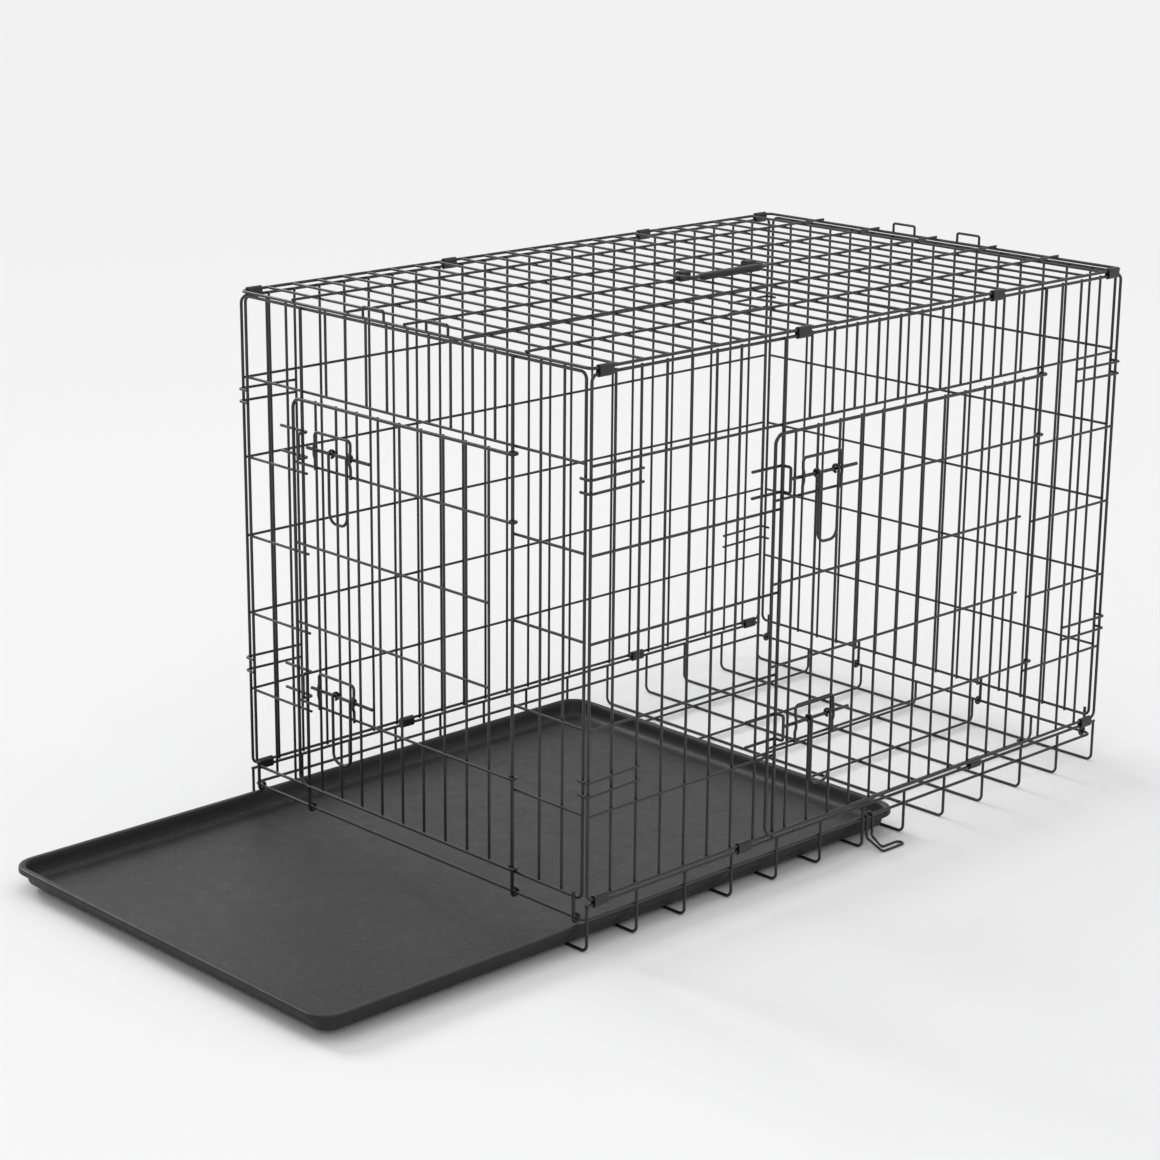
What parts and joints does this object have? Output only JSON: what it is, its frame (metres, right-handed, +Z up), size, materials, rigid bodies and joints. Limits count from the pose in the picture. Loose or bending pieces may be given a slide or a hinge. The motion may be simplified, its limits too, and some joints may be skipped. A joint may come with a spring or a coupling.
{
  "type": "folding wire dog crate",
  "caption": "Folding black wire pet crate with a hinged front door and side door on slide-bolt latches, folding end panels, a carry handle and a pull-out floor tray.",
  "frame": {"origin": "on the floor, under the middle of the crate's base", "axes": "+X from the front end to the back end, +Y from the side with the door to the plain side, +Z up"},
  "size_m": [1.2758, 0.6246, 0.6622],
  "materials": {
    "coated_wire": "satin black electro-coat",
    "latch_wire": "satin black electro-coat, rubbed where it slides",
    "hinge_clip": "satin black",
    "handle_plastic": "moulded, fine matte",
    "tray_plastic": "moulded, fine-grained charcoal"
  },
  "bodies": {
    "cage": {"back_end_roof_tabs": "coated_wire", "base_floor_hoops": "coated_wire", "base_hinge_clips": "hinge_clip", "base_hinge_rails": "coated_wire", "base_ring_wire": "coated_wire", "base_runner_wires": "coated_wire", "carry_handle_saddles": "handle_plastic", "door_side_corner_hooks": "coated_wire", "door_side_cross_wires": "coated_wire", "door_side_door_posts": "coated_wire", "door_side_frame": "coated_wire", "door_side_latch_keepers": "latch_wire", "door_side_upright_wires": "coated_wire", "front_end_roof_tabs": "coated_wire", "plain_side_corner_hooks": "coated_wire", "plain_side_cross_wires": "coated_wire", "plain_side_frame": "coated_wire", "plain_side_upright_wires": "coated_wire", "roof_cross_wires": "coated_wire", "roof_frame": "coated_wire", "roof_hinge_clips": "hinge_clip", "roof_long_wires": "coated_wire"},
    "front_end": {"front_end_cross_wires": "coated_wire", "front_end_door_posts": "coated_wire", "front_end_frame": "coated_wire", "front_end_hinge_hooks": "coated_wire", "front_end_latch_keepers": "latch_wire", "front_end_upright_wires": "coated_wire"},
    "back_end": {"back_end_cross_wires": "coated_wire", "back_end_frame": "coated_wire", "back_end_hinge_hooks": "coated_wire", "back_end_upright_wires": "coated_wire"},
    "front_door": {"front_door_cross_wires": "coated_wire", "front_door_frame": "coated_wire", "front_door_latch_brackets": "latch_wire", "front_door_upright_wires": "coated_wire"},
    "side_door": {"side_door_cross_wires": "coated_wire", "side_door_frame": "coated_wire", "side_door_latch_brackets": "latch_wire", "side_door_upright_wires": "coated_wire"},
    "carry_handle": {"carry_handle_bail": "coated_wire", "carry_handle_grip": "handle_plastic"},
    "tray": {"tray": "tray_plastic"},
    "fold_lock": {"fold_lock_hook": "latch_wire"},
    "front_door_lower_bolt": {"front_door_lower_bolt": "latch_wire"},
    "front_door_lower_finger_loop": {"front_door_lower_finger_loop": "latch_wire"},
    "front_door_upper_bolt": {"front_door_upper_bolt": "latch_wire"},
    "front_door_upper_finger_loop": {"front_door_upper_finger_loop": "latch_wire"},
    "side_door_lower_bolt": {"side_door_lower_bolt": "latch_wire"},
    "side_door_lower_finger_loop": {"side_door_lower_finger_loop": "latch_wire"},
    "side_door_upper_bolt": {"side_door_upper_bolt": "latch_wire"},
    "side_door_upper_finger_loop": {"side_door_upper_finger_loop": "latch_wire"}
  },
  "joints": [
    {"name": "front_end_fold", "type": "hinge", "parent": "cage", "child": "front_end", "pos_m": [-0.45575, 0, 0.037], "axis": [0, -1, 0], "range_deg": [-88, 0]},
    {"name": "back_end_fold", "type": "hinge", "parent": "cage", "child": "back_end", "pos_m": [0.45575, 0, 0.037], "axis": [0, 1, 0], "range_deg": [-83.5, 0]},
    {"name": "front_door_swing", "type": "hinge", "parent": "front_end", "child": "front_door", "pos_m": [-0.45985, -0.17997, 0.3], "axis": [0, 0, 1], "range_deg": [0, 165]},
    {"name": "side_door_swing", "type": "hinge", "parent": "cage", "child": "side_door", "pos_m": [0.3, -0.29985, 0.3], "axis": [0, 0, 1], "range_deg": [0, 165]},
    {"name": "front_door_lower_bolt_slide", "type": "slide", "parent": "front_door", "child": "front_door_lower_bolt", "axis": [0, -1, 0], "range_m": [-0.021, 0]},
    {"name": "front_door_lower_finger_loop_swing", "type": "hinge", "parent": "front_door_lower_bolt", "child": "front_door_lower_finger_loop", "pos_m": [-0.4648, 0.10538, 0.1932], "axis": [0, 1, 0], "range_deg": [0, 110]},
    {"name": "front_door_upper_bolt_slide", "type": "slide", "parent": "front_door", "child": "front_door_upper_bolt", "axis": [0, -1, 0], "range_m": [-0.021, 0]},
    {"name": "front_door_upper_finger_loop_swing", "type": "hinge", "parent": "front_door_upper_bolt", "child": "front_door_upper_finger_loop", "pos_m": [-0.4648, 0.10538, 0.4842], "axis": [0, 1, 0], "range_deg": [0, 110]},
    {"name": "side_door_lower_bolt_slide", "type": "slide", "parent": "side_door", "child": "side_door_lower_bolt", "axis": [1, 0, 0], "range_m": [-0.021, 0]},
    {"name": "side_door_lower_finger_loop_swing", "type": "hinge", "parent": "side_door_lower_bolt", "child": "side_door_lower_finger_loop", "pos_m": [-0.0967, -0.3048, 0.1929], "axis": [-1, 0, 0], "range_deg": [0, 110]},
    {"name": "side_door_upper_bolt_slide", "type": "slide", "parent": "side_door", "child": "side_door_upper_bolt", "axis": [1, 0, 0], "range_m": [-0.021, 0]},
    {"name": "side_door_upper_finger_loop_swing", "type": "hinge", "parent": "side_door_upper_bolt", "child": "side_door_upper_finger_loop", "pos_m": [-0.0967, -0.3048, 0.483], "axis": [-1, 0, 0], "range_deg": [0, 110]},
    {"name": "tray_slide", "type": "slide", "parent": "cage", "child": "tray", "axis": [-1, 0, 0], "range_m": [-0.366, 0.54]},
    {"name": "carry_handle_lift", "type": "hinge", "parent": "cage", "child": "carry_handle", "pos_m": [0.038, 0, 0.65595], "axis": [-1, 0, 0], "range_deg": [0, 180]},
    {"name": "fold_lock_swing", "type": "hinge", "parent": "cage", "child": "fold_lock", "pos_m": [0, -0.2924, 0.037], "axis": [-1, 0, 0], "range_deg": [0, 100]}
  ]
}
